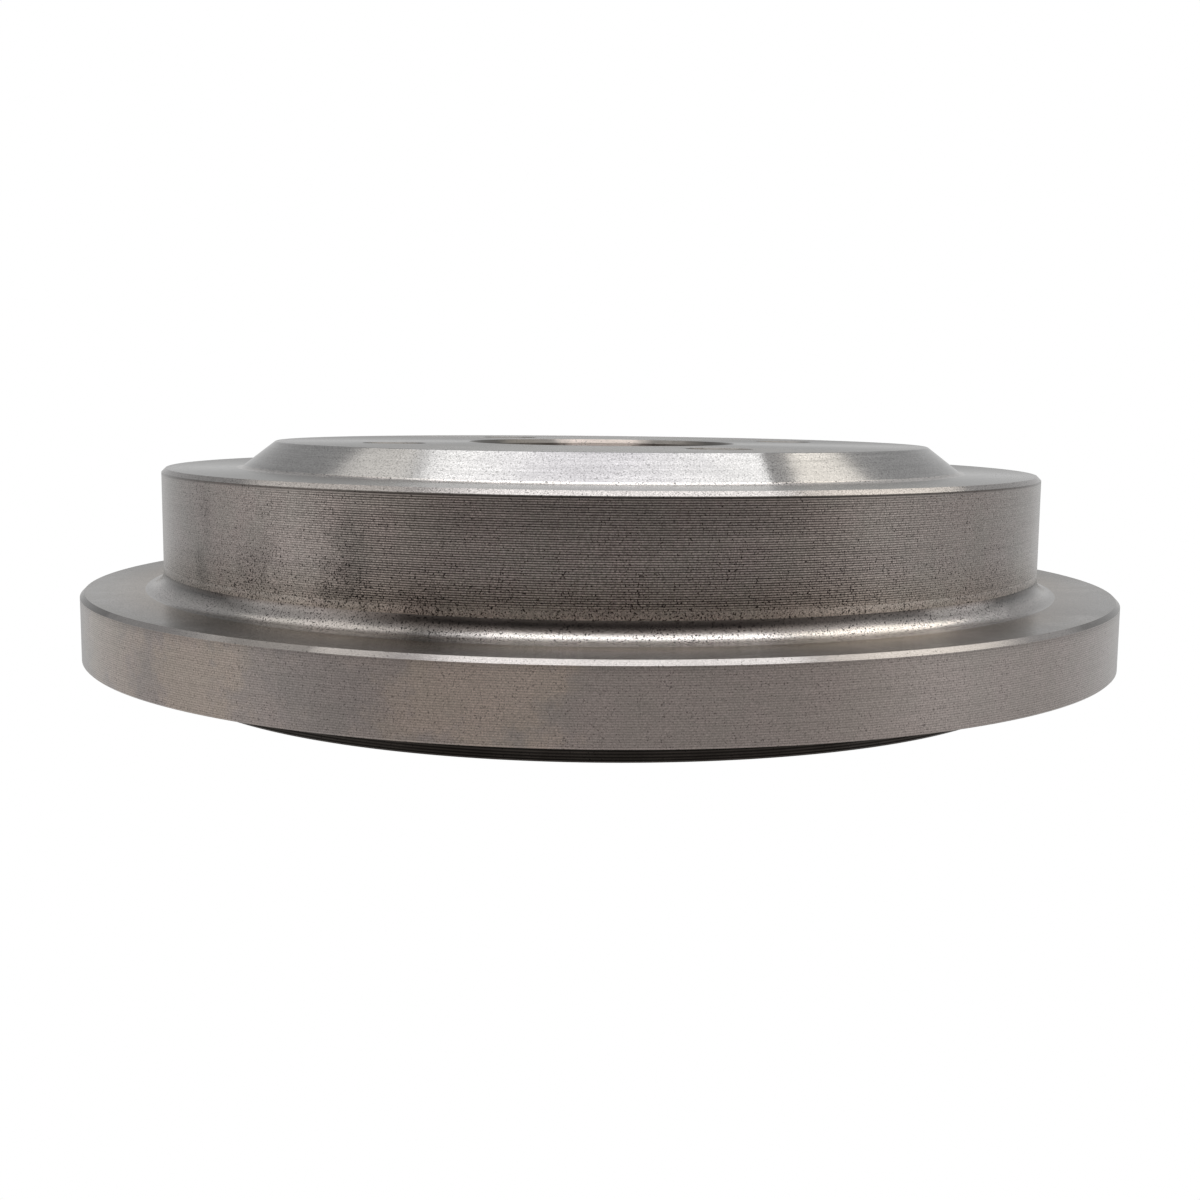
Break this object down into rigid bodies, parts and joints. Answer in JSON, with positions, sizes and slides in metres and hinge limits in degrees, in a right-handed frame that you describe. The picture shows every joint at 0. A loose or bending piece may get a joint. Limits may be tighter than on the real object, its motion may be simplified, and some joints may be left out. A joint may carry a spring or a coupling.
{
  "type": "brake drum",
  "caption": "Turned cast iron brake drum: a ring with a wide rim flange and an open lip, closed by a stepped web with a wheel seat, a pilot bore and stud holes.",
  "frame": {"origin": "on the axle's axis, in the plane of the rim of the open lip, which the drum rests on", "axes": "+Z along the axle, from the open end to the wheel seat; +X and +Y are free, with the first stud hole 28 degrees from +X towards +Y"},
  "size_m": [0.26, 0.26, 0.0598],
  "materials": {
    "turned_cast_iron": "bare grey cast iron, turned all over, with fine feed marks and broken edges"
  },
  "bodies": {
    "root": {"brake_drum": "turned_cast_iron"}
  },
  "joints": []
}
